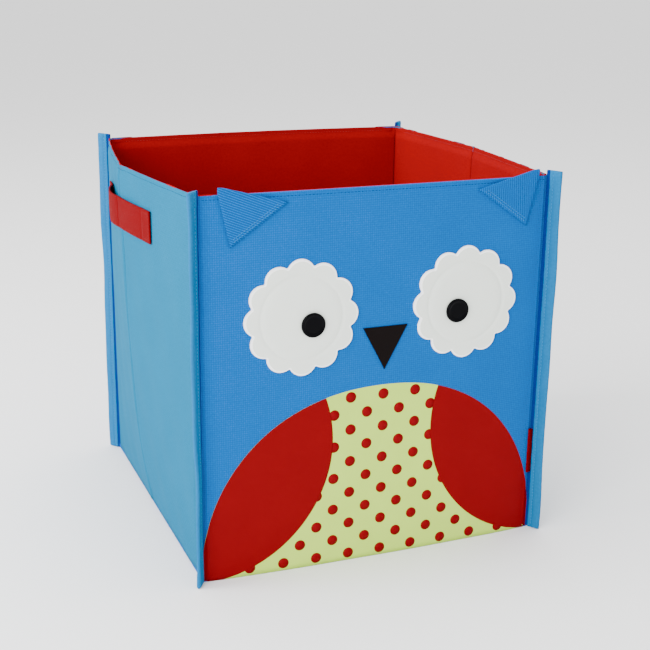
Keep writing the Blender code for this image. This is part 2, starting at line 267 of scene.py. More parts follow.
def stitches(name, lines, finish, body, pitch, thick=0.42 * MM, share=0.74):
    """All stitches of some lines as one piece. Each stitch is a small bead of thread."""
    sides, rings = 6, 5
    bead = []
    for ring in range(rings):
        along = -1 + 2 * ring / (rings - 1)
        radius = max(1 - along ** 4, 0.0) ** 0.5 * 0.98 + 0.02
        for side in range(sides):
            angle = 2 * math.pi * side / sides
            bead.append((along, radius * math.cos(angle), radius * math.sin(angle)))
    bead = np.array(bead)
    bead_faces = grid_faces(rings, sides, closed=True)
    bead_faces += [list(range(sides))[::-1], list(range((rings - 1) * sides, rings * sides))]
    points, faces = [], []
    for line, outward in lines:
        for middle, run, out in zip(*stitch_places(line, outward, pitch)):
            along = run / max(np.linalg.norm(run), 1e-9)
            out = out / np.linalg.norm(out)
            across = np.cross(out, along)
            base = len(points) * len(bead)
            points.append(middle + np.outer(bead[:, 0] * pitch * share / 2, along)
                          + np.outer(bead[:, 1] * thick / 2, across)
                          + np.outer(bead[:, 2] * thick / 2, out))
            faces += [[i + base for i in face] for face in bead_faces]
    return piece(name, np.concatenate(points), faces, finish, body)


# ---------------------------------------------------------------- materials


def add(tree, kind, sockets=None, **settings):
    """Adds a node. Each socket takes a constant or another node's output."""
    made = tree.nodes.new(kind)
    for key, value in settings.items():
        setattr(made, key, value)
    for key, value in (sockets or {}).items():
        if isinstance(value, bpy.types.NodeSocket):
            tree.links.new(value, made.inputs[key])
        else:
            made.inputs[key].default_value = value
    return made


def maths(tree, operation, *values):
    """The result of one sum on constants or other nodes' outputs."""
    return add(tree, "ShaderNodeMath", dict(enumerate(values)), operation=operation).outputs[0]


def spread(tree, value, *limits):
    """A value moved from one range to another: from low, from high, to low, to high."""
    sockets = dict(enumerate((value, *limits)))
    return add(tree, "ShaderNodeMapRange", sockets).outputs[0]


def surface(name, **shader):
    """A material with a Principled BSDF, its tree and its shader."""
    made = bpy.data.materials.new(name)
    made.use_nodes = True
    tree = made.node_tree
    tree.nodes.clear()
    output = add(tree, "ShaderNodeOutputMaterial")
    principled = add(tree, "ShaderNodeBsdfPrincipled")
    for key, value in shader.items():
        principled.inputs[key.replace("_", " ")].default_value = value
    tree.links.new(principled.outputs[0], output.inputs[0])
    return made, tree, principled


def plane_coordinates(tree, plane, turn=0.0):
    """Two lengths in metres along a piece's own plane, such as "xz" for the front wall."""
    place = add(tree, "ShaderNodeTexCoord")
    parts = add(tree, "ShaderNodeSeparateXYZ", {0: place.outputs["Object"]})
    flat = add(tree, "ShaderNodeCombineXYZ", {i: parts.outputs["xyz".index(plane[i])] for i in (0, 1)})
    return add(tree, "ShaderNodeMapping", {0: flat.outputs[0], 2: (0.0, 0.0, turn)}).outputs[0]


def dye(tree, principled, colour, tone):
    """Colours a surface, lighter and darker by a tone near 1."""
    dyed = add(tree, "ShaderNodeVectorMath", {0: tuple(colour), 3: tone}, operation="SCALE")
    tree.links.new(dyed.outputs[0], principled.inputs["Base Color"])


def emboss(tree, principled, strength, height, relief):
    """Gives a surface a relief, its height in millimetres."""
    bump = add(tree, "ShaderNodeBump", {"Strength": strength, "Distance": height * MM, "Height": relief})
    tree.links.new(bump.outputs[0], principled.inputs["Normal"])


def woven(name, colour, plane, thread, rib=0.0, turn=0.0, contrast=0.22, height=0.16, slub=0.10, **shader):
    """Plain weave: warp and weft threads that take turns on top, each a rounded ridge."""
    made, tree, principled = surface(name, **{**MATT_CLOTH, **shader})
    flat = plane_coordinates(tree, plane, turn)
    cells = add(tree, "ShaderNodeVectorMath", {0: flat, 3: 1 / (thread * MM)},
                operation="SCALE").outputs[0]
    parts = add(tree, "ShaderNodeSeparateXYZ", {0: cells})
    ridges = []
    for axis in (0, 1):
        wave = maths(tree, "SINE", maths(tree, "MULTIPLY", parts.outputs[axis], math.pi))
        ridges.append(maths(tree, "ABSOLUTE", wave))
    over = add(tree, "ShaderNodeTexChecker", {"Vector": cells, "Scale": 1.0})
    weave = add(tree, "ShaderNodeMix", {0: over.outputs["Fac"], 2: ridges[0], 3: ridges[1]})
    weft = add(tree, "ShaderNodeMix", {0: rib, 2: weave.outputs[0], 3: ridges[1]}).outputs[0]
    yarn = add(tree, "ShaderNodeTexNoise", {"Vector": flat, "Scale": 420.0, "Detail": 3.0,
                                            "Roughness": 0.6}).outputs[0]
    cloudy = add(tree, "ShaderNodeTexNoise", {"Vector": flat, "Scale": 22.0, "Detail": 4.0,
                                              "Roughness": 0.55}).outputs[0]
    shade = spread(tree, weft, 0.0, 1.0, 1 - contrast, 1 + contrast * 0.35)
    fleck = spread(tree, yarn, 0.25, 0.75, 1 - slub, 1 + slub)
    patchy = spread(tree, cloudy, 0.3, 0.7, 0.965, 1.035)
    tone = maths(tree, "MULTIPLY", maths(tree, "MULTIPLY", shade, fleck), patchy)
    dye(tree, principled, colour, tone)
    emboss(tree, principled, 0.6, height, maths(tree, "MULTIPLY_ADD", weft, yarn, weft))
    return made


def coated(name, colour, grain=0.6, height=0.04, blotch=0.03, **shader):
    """A smooth coated cloth or leatherette: fine pebbled grain and slight cloudiness."""
    made, tree, principled = surface(name, **shader)
    flat = plane_coordinates(tree, "xz")
    pebbles = add(tree, "ShaderNodeTexVoronoi", {"Vector": flat, "Scale": 1 / (grain * MM)},
                  feature="SMOOTH_F1")
    cloudy = add(tree, "ShaderNodeTexNoise", {"Vector": flat, "Scale": 30.0, "Detail": 3.0})
    tone = spread(tree, cloudy.outputs[0], 0.3, 0.7, 1 - blotch, 1 + blotch)
    dye(tree, principled, colour, tone)
    emboss(tree, principled, 0.5, height, pebbles.outputs["Distance"])
    return made


def finishes():
    """Every finish of the bin, made once."""
    if "canvas front woven polyester" in bpy.data.materials:
        return {m["part"]: m for m in bpy.data.materials if "part" in m}
    colours = bpy.context.scene.bin_colours
    # The ears are a heavier canvas whose ribs run slanted on one and upright on the other.
    # A rib is about 1 mm in the cloth, and 1.9 mm here, so that it shows.
    ribbed = {"rib": 0.75, "contrast": 0.55, "height": 0.5}
    made = {
        # 600 denier polyester canvas, plain woven: matt, with a fine grid. Its real 0.6 mm
        # threads are drawn 1.9 mm wide, because finer ones don't show.
        "front": woven("canvas front woven polyester", colours.front, "xz", 1.9,
                       contrast=0.30),
        "side": woven("canvas side woven polyester", colours.side, "yz", 1.9, contrast=0.14),
        "base": woven("canvas base woven polyester", colours.front, "xy", 1.1),
        "left ear": woven("canvas left ear ribbed", colours.front, "xz", 1.9,
                          turn=math.radians(22), **ribbed),
        "right ear": woven("canvas right ear ribbed", colours.front, "xz", 1.9,
                           turn=math.radians(86), **ribbed),
        # Painted shade: the raw canvas edges inside the corner seam get a dark navy colour that stands in
        # for the deep shade of the seam's groove.
        "painted seam shade": woven("canvas seam allowance", linear("00266B"), "xz", 1.8),
        # Folded polyester tape: close ribs across its width, and a slight shine.
        "tape": woven("binding tape ribbed polyester", colours.tape, "xz", 1.2, rib=0.8,
                      contrast=0.16, Roughness=0.7, Specular_IOR_Level=0.08),
        # Nylon webbing: heavy weft ribs across the band, which catch a line of light each.
        "webbing": woven("webbing woven nylon", colours.webbing, "yz", 1.5, rib=0.35,
                         contrast=0.30, height=0.25, Roughness=0.7, Specular_IOR_Level=0.03),
        # Polyurethane film on cloth: even colour, satin, hardly any grain.
        "belly": coated("belly coated cloth", colours.belly, Roughness=0.5,
                        Specular_IOR_Level=0.1),
        "wing": coated("wing coated cloth", colours.wing, Roughness=0.48,
                       Specular_IOR_Level=0.04),
        # Screen ink: as satin as the film that it is printed on.
        "dot": coated("dot screen ink", colours.dot, Roughness=0.5, Specular_IOR_Level=0.04),
        # Embossed leatherette: matt, with a pebbled grain.
        "patch": coated("eye patch leatherette", colours.patch, grain=0.9, height=0.06,
                        blotch=0.012, Roughness=0.62),
        # The patch's cut edge and outer rim are made pure white: a painted highlight for the light that
        # the thick edge catches all round.
        "painted patch highlight": coated("eye patch cut foam edge", linear("FFFFFF"), grain=0.9,
                             height=0.03, blotch=0.0, Roughness=0.8),
        "beak": coated("beak leatherette", linear("0B0606"), grain=0.9, height=0.08,
                       Roughness=0.6, Specular_IOR_Level=0.05),
        # Injection-moulded and tumbled plastic: deep black with a sharp highlight.
        "button": coated("button moulded plastic", linear("020204"), grain=3.0, height=0.01,
                         Roughness=0.25, Specular_IOR_Level=0.03, Coat_Weight=0.04,
                         Coat_Roughness=0.05),
        # Spun polyester thread: navy and matt at the rim.
        "navy thread": coated("thread navy polyester", linear("001838"), grain=0.3,
                              Roughness=0.7, Specular_IOR_Level=0.06),
    }
    # Thin oxford lining: fine weave, soft sheen.
    for part, plane in (("front", "xz"), ("side", "yz"), ("base", "xy")):
        made[f"lining {part}"] = woven(f"lining woven oxford {plane}", colours.lining, plane, 0.9,
                                       contrast=0.18, height=0.1)
    # Spun polyester thread elsewhere: a little lighter than the cloth that it lies in.
    for dyed, code in (("blue", "0074AF"), ("red", "81000D"), ("white", "E4E6E0")):
        made[f"{dyed} thread"] = coated(f"thread {dyed} polyester", linear(code), grain=0.3, Roughness=0.6)
    for part, finish in made.items():
        finish["part"] = part
    return made


# ---------------------------------------------------------------- reliefs of the walls


def rim_pinch(up, inset=1.0):
    """How far a wall's outer face draws in above its board and at the rim's stitch line."""
    below = RIM - up
    pinch = 1.0 * MM * smoothstep((11 * MM - below) / (8 * MM))
    pinch = pinch + 0.3 * MM * near(below - RIM_STITCHES, 0.9 * MM)
    return pinch * smoothstep((inset - SEAM) / (8 * MM))


def corner_dip(inset):
    """How deep a wall's cloth lies at a distance in from its corner: a groove, then a roll."""
    roll = bpy.context.scene.bin_shape.round_over
    groove = (SEAM - roll) * (1 - smoothstep((inset - SEAM - 1.0 * MM) / (3.0 * MM)))
    return roll * np.exp(-np.maximum(inset - 9 * MM, 0) / (11 * MM)) + groove


def front_relief(across, up):
    """How far the front canvas stands out from the frame's front face."""
    shape = bpy.context.scene.bin_shape
    inset = HALF_WIDTH - np.abs(across)
    crown = shape.crown * np.cos(np.clip(across / HALF_WIDTH, -1, 1) * math.pi / 2) ** 0.8
    crown = crown * (1 - 0.55 * np.clip(up / RIM, 0, 1) ** 3)
    slack = ripple(across, up, 0.4 * MM, 1) * smoothstep((inset - SEAM) / (30 * MM))
    return crown - corner_dip(inset) - rim_pinch(up, inset) + slack


def back_relief(across, up):
    """How far the back canvas stands out from the frame's back face."""
    inset = HALF_WIDTH - np.abs(across)
    bow = bpy.context.scene.bin_shape.back_bulge * np.cos(
        np.clip(across / HALF_WIDTH, -1, 1) * math.pi / 2)
    bow = bow * (1 - np.exp(-up / 0.085))
    slack = ripple(across, up, 0.5 * MM, 4)
    return bow - corner_dip(inset) - rim_pinch(up, inset) + slack


def tent(along, up, bulge):
    """How far a folding side bows out: straight boards from each corner to the fold line."""
    half = (BACK_Y - FRONT_Y) / 2 - SEAM
    share = np.clip(1 - np.abs(along - CREASE_Y) / half, 0, 1)
    peak = share + 0.05 * np.sin(math.pi * share)
    return bulge * peak * (1 - np.exp(-np.maximum(up - WALL_FOOT, 0) / 0.080)) * (0.76 + 0.24 * up / RIM)


def side_relief(along, up, bulge):
    """How far a side canvas stands out from the frame's side face."""
    inset = np.minimum(along - FRONT_Y, BACK_Y - along)
    crease = 1.3 * MM * near(along - CREASE_Y, 2.2 * MM)
    ridge = 0.5 * MM * near(np.abs(along - CREASE_Y) - 6 * MM, 3 * MM)
    slack = ripple(along, up, 0.75 * MM, 2) * smoothstep((inset - SEAM) / (25 * MM))
    drawn_in = corner_dip(inset) + rim_pinch(up, inset) + crease
    return tent(along, up, bulge) - drawn_in + ridge + slack


def rim_rows(foot, radius, rows):
    """Heights up a wall's face and the inward turn over its rim, as (height, inward)."""
    straight = [(height, 0.0) for height in np.linspace(foot, RIM - 16 * MM, rows)]
    straight += [(RIM - drop * MM, 0.0) for drop in np.arange(15, 1.2, -0.8)]
    turn = []
    for angle in np.radians((0, 18, 36, 54, 72, 90)):
        turn.append((RIM - radius + radius * math.sin(angle), radius * (1 - math.cos(angle))))
    return np.array([row for row in straight if row[0] < RIM - radius - 0.2 * MM] + turn)


def lining_depth(up, inset=1.0):
    """How deep the lining's inner face lies behind the wall's outer face."""
    depth = WALL - 1.7 * MM * smoothstep((12 * MM - (RIM - up)) / (9 * MM))
    return np.maximum(depth, corner_dip(inset) + rim_pinch(up, inset) + 1.3 * MM)


def corner_depth(up):
    """How far in from the wall beside it a lining ends, so that it stays behind the canvas."""
    return np.maximum(lining_depth(up), SEAM + 1.3 * MM)


def lining_rows(foot):
    """Heights up a lining and over its rim, as (height, inward, share of the way outwards)."""
    up = rim_rows(foot, LINING_TURN, 40)
    up = np.hstack([up, np.zeros((len(up), 1))])
    return np.vstack([up, (RIM, LINING_TURN, 0.5), (RIM - 0.05 * MM, LINING_TURN, 1.0)])


# ---------------------------------------------------------------- walls


def crowded(count, way=1):
    """Steps from -1 to 1, or back again, that crowd toward both ends."""
    return np.sin(np.linspace(-way, way, count) * math.pi / 2)


def wall_grid(columns, rows):
    """A grid of places along a wall and up it, and what its rows say beside their height."""
    along, up = np.meshgrid(columns, rows[:, 0])
    return [along, up] + [np.repeat(rows[:, i:i + 1], len(columns), axis=1)
                          for i in range(1, rows.shape[1])]


def spanned(up, left, right, columns):
    """A grid between two edges: its places across, at shares of the way, and up."""
    x = left[:, None] + (right - left)[:, None] * columns
    return x, np.repeat(up[:, None], len(columns), axis=1)


def front_give(x, up):
    """How far the front lining falls away from its board."""
    slack = ripple(x, up, 0.4 * MM, 7) * smoothstep((INNER_EDGE - np.abs(x)) / SLACK_FADE)
    return np.minimum(slack, 0.0)


def back_give(x, up):
    """How far the back lining bows out with its wall."""
    inset = HALF_WIDTH - np.abs(x)
    return back_relief(x, up) + rim_pinch(up, inset) + corner_dip(inset)


def end_wall(context, body, canvas_grid, lining_foot):
    """Canvas, lining and rim stitches of the front or back wall."""
    shape, finish = context.scene.bin_shape, finishes()
    wall, out, foot, relief, give = {
        "front": (FRONT_Y, -1, 0.0, front_relief, front_give),
        "back": (BACK_Y, 1, WALL_FOOT, back_relief, back_give)}[body]
    columns, rows = canvas_grid
    x, up, inward = wall_grid((HALF_WIDTH - SEAM) * crowded(columns, -out),
                              rim_rows(foot, CANVAS_TURN, rows))
    y = wall + out * (relief(x, up) - inward)
    canvas = sheet(f"{body}_canvas", np.stack([x, y, up], -1), finish["front"], body,
                   shape.canvas, inside=finish["lining front"])
    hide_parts(f"{body}_outer", f"{body}_board")
    x, up, inward, over = wall_grid(crowded(80, out), lining_rows(lining_foot))
    x = x * (HALF_WIDTH - corner_depth(up))
    y = wall + out * (give(x, up) + inward - lining_depth(up, HALF_WIDTH - np.abs(x)))
    y += over * (wall + out * (relief(x, up) - UNDER_CANVAS) - y)
    inner = sheet(f"{body}_lining_cloth", np.stack([x, y, up], -1), finish["lining front"], body,
                  shape.lining)
    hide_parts(f"{body}_lining")
    line = np.linspace(-HALF_WIDTH + 6 * MM, HALF_WIDTH - 6 * MM, 200)
    height = np.full_like(line, RIM - RIM_STITCHES)
    rim = np.stack([line, wall + out * relief(line, height), height], -1)
    stitches(f"{body}_rim_stitches", [(rim, (0, out, 0))], finish["navy thread"], body,
             shape.stitch)
    if body == "back":
        depth = lining_depth(height, HALF_WIDTH - np.abs(line))
        inside = np.stack([line, wall - depth + give(line, height), height], -1)[8:-8]
        stitches("back_lining_stitches", [(inside, (0, -1, 0))], finish["red thread"], "back",
                 shape.stitch)


class BIN_OT_front_wall(bpy.types.Operator):
    """Front canvas, lining and rim stitches."""

    bl_idname = "bin.front_wall"
    bl_label = "Front Wall"

    def execute(self, context):
        end_wall(context, "front", (180, 110), 1.5 * MM)
        return {"FINISHED"}


class BIN_OT_back_wall(bpy.types.Operator):
    """Back canvas, lining and rim stitches."""

    bl_idname = "bin.back_wall"
    bl_label = "Back Wall"

    def execute(self, context):
        end_wall(context, "back", (120, 60), WALL_FOOT)
        return {"FINISHED"}


def half_wall(context, side, sign, half, way):
    """One half of a side, from its corner to the fold line."""
    shape, finish = context.scene.bin_shape, finishes()
    body, bulge = f"{side}_{half}", getattr(shape, f"{side}_bulge")
    end = END_Y[half]
    corner = end - way * CORNER_CLOTH
    along = CREASE_Y + (corner - CREASE_Y) * np.linspace(0, 1, 76) ** 0.8
    y, up, inward = wall_grid(along[::way * sign], rim_rows(WALL_FOOT, CANVAS_TURN, 60))
    x = sign * (HALF_WIDTH + side_relief(y, up, bulge) - inward)
    canvas = sheet(f"{body}_canvas", np.stack([x, y, up], -1), finish["side"], body,
                   shape.canvas, inside=finish["lining side"])
    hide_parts(f"{body}_outer", f"{body}_board")
    y, up, inward, over = wall_grid(np.linspace(0, 1, 60)[::-way * sign], lining_rows(WALL_FOOT))
    y = CREASE_Y + (end - way * corner_depth(up) - CREASE_Y) * y
    crease = 0.8 * MM * near(y - CREASE_Y, 2.5 * MM)
    slack = ripple(y, up, 0.4 * MM, 11 + 3 * (side == "right") + 5 * (half == "rear"))
    slack = slack * smoothstep(np.abs(y - CREASE_Y) / SLACK_FADE)
    depth = lining_depth(up, np.minimum(y - FRONT_Y, BACK_Y - y))
    x = HALF_WIDTH + tent(y, up, bulge) - depth + inward + crease + np.maximum(slack, 0)
    x = sign * (x + over * (HALF_WIDTH + side_relief(y, up, bulge) - UNDER_CANVAS - x))
    inner = sheet(f"{body}_lining_cloth", np.stack([x, y, up], -1), finish["lining side"], body,
                  shape.lining)
    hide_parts(f"{body}_lining")
    line = np.linspace(CREASE_Y + way * 1.5 * MM, corner, 120)
    height = np.full_like(line, RIM - RIM_STITCHES)
    out = HALF_WIDTH + side_relief(line, height, bulge)
    rim = np.stack([sign * out, line, height], -1)
    out = HALF_WIDTH + tent(line, height, bulge) - lining_depth(height)
    inside = np.stack([sign * out, line, height], -1)[:-8]
    rim_stitches = stitches(f"{body}_rim_stitches", [(rim, (sign, 0, 0))], finish["navy thread"], body,
                            shape.stitch)
    lining_stitches = stitches(f"{body}_lining_stitches", [(inside, (-sign, 0, 0))], finish["red thread"],
                               body, shape.stitch)
    for cloths, anchor in (((canvas, rim_stitches), HALF_WIDTH),
                           ((inner, lining_stitches), HALF_WIDTH - WALL)):
        for cloth in cloths:
            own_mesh(cloth)


def corner_cloth(context, side, sign, half, way):
    """Canvas beside a corner seam."""
    shape, finish = context.scene.bin_shape, finishes()
    wall = END_Y[half]
    inner = wall - way * CORNER_CLOTH
    along = np.linspace(wall - way * SEAM, inner, 22)
    y, up, inward = wall_grid(along[::-way * sign], rim_rows(WALL_FOOT, CANVAS_TURN, 60))
    bulge = getattr(shape, f"{side}_bulge")
    x = sign * (HALF_WIDTH + side_relief(y, up, bulge) - inward)
    # The loop of walls is opened at its right rear corner, so this cloth rides there alone
    joined = half == "front" or side == "left"
    alone = None if joined else f"{side}_{half}"
    cloth = sheet(f"{side}_{half}_corner_cloth", np.stack([x, y, up], -1), finish["side"], alone,
                  shape.canvas, inside=finish["lining side"])
    if joined:
        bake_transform(cloth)


class BIN_OT_side_walls(bpy.types.Operator):
    """Folding side walls: canvas, lining and stitches of each half, and the corner cloth."""

    bl_idname = "bin.side_walls"
    bl_label = "Side Walls"

    def execute(self, context):
        for side, sign in SIDES:
            for build in (half_wall, corner_cloth):
                for half, way in HALVES:
                    build(context, side, sign, half, way)
        return {"FINISHED"}


def ways(name, share, x_sign, y_sign):
    """Which way a tape points, and the way across it, at a share of its height."""
    foot_turn, top_turn = TAPE_TURN[name]
    turn = math.radians(foot_turn + (top_turn - foot_turn) * share)
    out = Vector((x_sign * math.cos(turn), y_sign * math.sin(turn), 0))
    return out, Vector((-out.y, out.x, 0))


def sway(height, x_sign):
    """How far a tape's free edge wanders sideways."""
    return 0.7 * MM * math.sin(height * 31 + x_sign) + 0.3 * MM * math.sin(height * 83)


def binding(context, name, x_sign, y_sign, body):
    """One binding: a flattened tape section swept up the corner."""
    shape, finish = context.scene.bin_shape, finishes()
    foot, top = 0.6 * MM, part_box(f"{name}_binding")[1].z
    width, half = TAPE_WIDTH, TAPE_HALF
    seam = Vector((x_sign * (HALF_WIDTH - SEAM), y_sign * (BACK_Y - SEAM), 0))
    hem = width - 11.6 * MM
    section = [(0, 0.9 * MM), (hem, 0.9 * MM), (hem + 0.2 * MM, 1.45 * MM), (hem + 1.0 * MM, half),
               (hem + 2.6 * MM, half), (hem + 3.5 * MM, 1.2 * MM), (hem + 4.4 * MM, half),
               (hem + 7 * MM, half * 1.04)]
    nose = width - half
    turn = np.radians(np.linspace(78, -78, 9))
    section += [(nose + half * math.cos(a), half * math.sin(a)) for a in turn]
    section += [(r, -t) for r, t in section[:8][::-1]]
    section = [(r, -t) for r, t in section]
    count = len(section)
    heights = np.concatenate([foot + np.array([0, 0.4, 1.0]) * MM,
                              np.linspace(foot + 2 * MM, top - 2 * MM, 200), top - np.array([1.0, 0.4, 0])
                              * MM])
    rings = []
    for height in heights:
        out, across = ways(name, height / top, x_sign, y_sign)
        to_end = min(height - foot, top - height)
        turned = 1.0 + 0.16 * float(smoothstep((14 * MM - to_end) / (1.2 * MM)))
        rounding = 1 - 0.35 * (1 - min(to_end / (1.2 * MM), 1.0)) ** 2
        drift = sway(height, x_sign)
        for reach, thick in section:
            pull = 0.12 * MM * math.cos(2 * math.pi * height / shape.stitch)
            side = thick * turned * rounding - math.copysign(pull, thick)
            spot = seam + out * (reach + 0.35 * MM * math.sin(height * 55) * reach / width)
            spot = spot + across * (side + drift * reach / width)
            rings.append((spot.x, spot.y, height))
    faces = grid_faces(len(heights), count, closed=True)
    faces.append(list(range(count))[::-1])
    faces.append(list(range((len(heights) - 1) * count, len(heights) * count)))
    tape = piece(f"{name}_tape", rings, faces, finish["tape"], body)
    tape.data.set_sharp_from_angle(angle=math.radians(50))
    # The tape's faces nearest the seam, and the edge between them, take the dark finish: painted shade for
    # the seam's groove.
    tape.data.materials.append(finish["painted seam shade"])
    for face in tape.data.polygons[:(len(heights) - 1) * count]:
        face.material_index = int(face.index % count in (0, count - 2, count - 1))
    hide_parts(f"{name}_binding")
    lines = []
    reach = hem + 3.5 * MM
    for face in (-1, 1):
        line, outward = [], []
        for height in np.linspace(foot + 3 * MM, top - 3 * MM, 160):
            out, across = ways(name, height / top, x_sign, y_sign)
            lift = face * 1.3 * MM + sway(height, x_sign) * reach / width
            spot = seam + out * reach + across * lift
            line.append((spot.x, spot.y, height))
            outward.append(tuple(across * face))
        lines.append((line, outward))
    stitches(f"{name}_tape_stitches", lines, finish["blue thread"], body, shape.stitch,
             thick=0.6 * MM)


class BIN_OT_bindings(bpy.types.Operator):
    """Folded tape over the four corner seams, with turned ends and a row of stitches."""

    bl_idname = "bin.bindings"
    bl_label = "Corner Bindings"

    def execute(self, context):
        for end, y_sign, body in (("front", -1, "front"), ("rear", 1, "back")):
            for side, x_sign in SIDES:
                binding(context, f"{end}_{side}", x_sign, y_sign, body)
        return {"FINISHED"}


def base_cloth():
    """Cloth under the bin, turned up at its back and sides."""
    finish = finishes()
    low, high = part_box("base_panel")
    turn = 2.2 * MM
    flat = np.linspace(-1, 1, 60)[1:-1]
    bend = np.radians(np.linspace(0, 90, 7))
    arc = [(turn * math.sin(a), turn * (1 - math.cos(a))) for a in bend] + [(turn, high.z)]
    half = high.x - turn
    columns = [(-half - out, up) for out, up in arc[::-1]]
    columns += [(half * f, 0.0) for f in flat] + [(half + out, up) for out, up in arc]
    ends = [(low.y + (high.y - turn - low.y) * f, 0.0) for f in np.linspace(0, 1, 60)]
    ends += [(high.y - turn + out, up) for out, up in arc[1:]]
    points = [[(x, y, max(up_x, up_y)) for x, up_x in columns[::-1]] for y, up_y in ends]
    cloth = sheet("base_cloth", np.array(points), finish["base"], "front", 0.8 * MM,
                  inside=finish["lining base"])
    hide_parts("base_panel")
    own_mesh(cloth)


def insert(context):
    """A board in a lining sleeve, a little crowned, with stitched edges."""
    shape, finish = context.scene.bin_shape, finishes()
    low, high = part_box("insert_cover")
    middle = (low + high) / 2
    half = (high - low) / 2
    ring = 7 * MM
    steps = np.linspace(-1, 1, 70)
    steps = np.sign(steps) * (1 - (1 - np.abs(steps)) ** 1.6)
    x, y = np.meshgrid(steps, steps)
    edge = np.maximum(np.abs(x), np.abs(y))
    round_off = np.sqrt(np.clip(1 - smoothstep((edge - 0.985) / 0.015) ** 2, 0, 1))
    seam = 0.35 * MM * near((1 - edge) * half.x - ring, 1.3 * MM)
    puff = half.z * round_off - seam + ripple(x * half.x, y * half.y, 0.12 * MM, 3)
    top = np.stack([middle.x + x * half.x, middle.y + y * half.y, middle.z + np.minimum(puff, half.z)], -1)
    under = top[:, ::-1].copy()
    under[..., 2] = 2 * middle.z - under[..., 2]
    count = top.shape[0] * top.shape[1]
    faces = grid_faces(*top.shape[:2])
    faces += [[i + count for i in face] for face in faces]
    cover = piece("insert_sleeve", np.concatenate([top, under]), faces, finish["lining base"], "insert")
    weld = cover.modifiers.new("sewn edge", "WELD")
    weld.merge_threshold = 0.05 * MM
    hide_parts("insert_cover", "insert_board")
    right, rear = half.x - ring, half.y - ring
    corners = [(-right, -rear), (right, -rear), (right, rear), (-right, rear)]
    lines = []
    for start, stop in zip(corners, corners[1:] + corners[:1]):
        share = np.linspace(0, 1, 60)[:, None]
        flat = np.array(start) * (1 - share) + np.array(stop) * share
        flat = flat + np.array([middle.x, middle.y])
        height = np.full((60, 1), high.z - 0.32 * MM)
        lines.append((np.hstack([flat, height]), (0, 0, 1)))
    stitches("insert_stitches", lines, finish["red thread"], "insert", shape.stitch)


class BIN_OT_base(bpy.types.Operator):
    """Base cloth under the bin and the covered insert that lies on it."""

    bl_idname = "bin.base"
    bl_label = "Base And Insert"

    def execute(self, context):
        base_cloth()
        insert(context)
        return {"FINISHED"}


def belly_half_width(up, sign):
    """How far the belly reaches to one side of the face's middle at a height."""
    power = 2.2
    height = BELLY_HIGH.z - BELLY_HEM
    share = np.clip((up - BELLY_HEM) / height, 0, 1)
    reach = (BELLY_HIGH.x - FACE_X) if sign > 0 else (FACE_X - BELLY_LOW.x)
    return reach * (1 - share ** power) ** (1 / power)


def wing_circle(sign):
    """The middle, across the wall, of the circle whose arc is a wing's inner edge."""
    low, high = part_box(f"{'left' if sign < 0 else 'right'}_wing")
    inner = high.x if sign < 0 else low.x
    return inner + sign * WING_RADIUS


def wing_edges(up, sign):
    """Where a wing's outer and inner edges lie at some heights."""
    rise = np.sqrt(np.maximum(WING_RADIUS ** 2 - (up - WING_LEVEL) ** 2, 0))
    return FACE_X + sign * belly_half_width(up, sign), wing_circle(sign) - sign * rise


def on_front(x, up, lift):
    """Points on the front canvas, raised by lift."""
    over_groove = 0.25 * MM * (1 - smoothstep((HALF_WIDTH - np.abs(x) - SEAM) / (6 * MM)))
    return np.stack([x, FRONT_Y - front_relief(x, up) - lift - over_groove, up], -1)


def belly(finish):
    """Coated cloth over the lower middle of the wall, down to its foot."""
    angle = np.linspace(0, math.pi / 2, 70)
    height = BELLY_HIGH.z - BELLY_HEM
    up = BELLY_HEM + height * np.sin(angle) ** (1 / 1.1)
    x, z = spanned(up, FACE_X - belly_half_width(up, -1), FACE_X + belly_half_width(up, 1),
                   (crowded(220) + 1) / 2)
    film = sheet("belly_film", on_front(x, z, 0.12 * MM), finish["belly"], "front", 0.1 * MM)
    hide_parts("belly_patch")


def wing(finish, side, sign):
    """Coated cloth between the belly's outline and the wing's arc."""
    heights = np.linspace(BELLY_HEM, BELLY_HIGH.z, 4000)
    outer, inner = wing_edges(heights, sign)
    open_rows = heights[(outer - inner) * sign > 0]
    top = open_rows[open_rows > WING_LEVEL].max()
    up = BELLY_HEM + (top - BELLY_HEM) * np.sin(np.linspace(0, math.pi / 2, 80))
    outer, inner = wing_edges(up, sign)
    edges = (outer, inner) if sign < 0 else (inner, outer)
    columns = np.sin(np.linspace(0, 1, 110) * math.pi / 2)
    columns = 1 - columns[::-1] if sign < 0 else columns
    x, z = spanned(up, *edges, columns)
    seam_share = 1 - smoothstep((HALF_WIDTH - np.abs(x) - SEAM) / (14 * MM))
    lift = (0.34 + 0.32 * seam_share) * MM
    film = sheet(f"{side}_wing_film", on_front(x, z, lift), finish["wing"], "front", 0.14 * MM)
    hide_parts(f"{side}_wing")


def shows(x, up):
    """True where a whole dot fits on the belly and some of it is clear of the wings."""
    sign = 1 if x > FACE_X else -1
    inside = belly_half_width(up + DOT_RADIUS, sign) > abs(x - FACE_X) + DOT_RADIUS
    above_foot = up - DOT_RADIUS > BELLY_HEM + 0.2 * MM
    clear = True
    for way in (-1, 1):
        away = math.hypot(x - wing_circle(way), up - WING_LEVEL)
        clear = clear and away > WING_RADIUS - 0.8 * DOT_RADIUS
    return inside and above_foot and clear


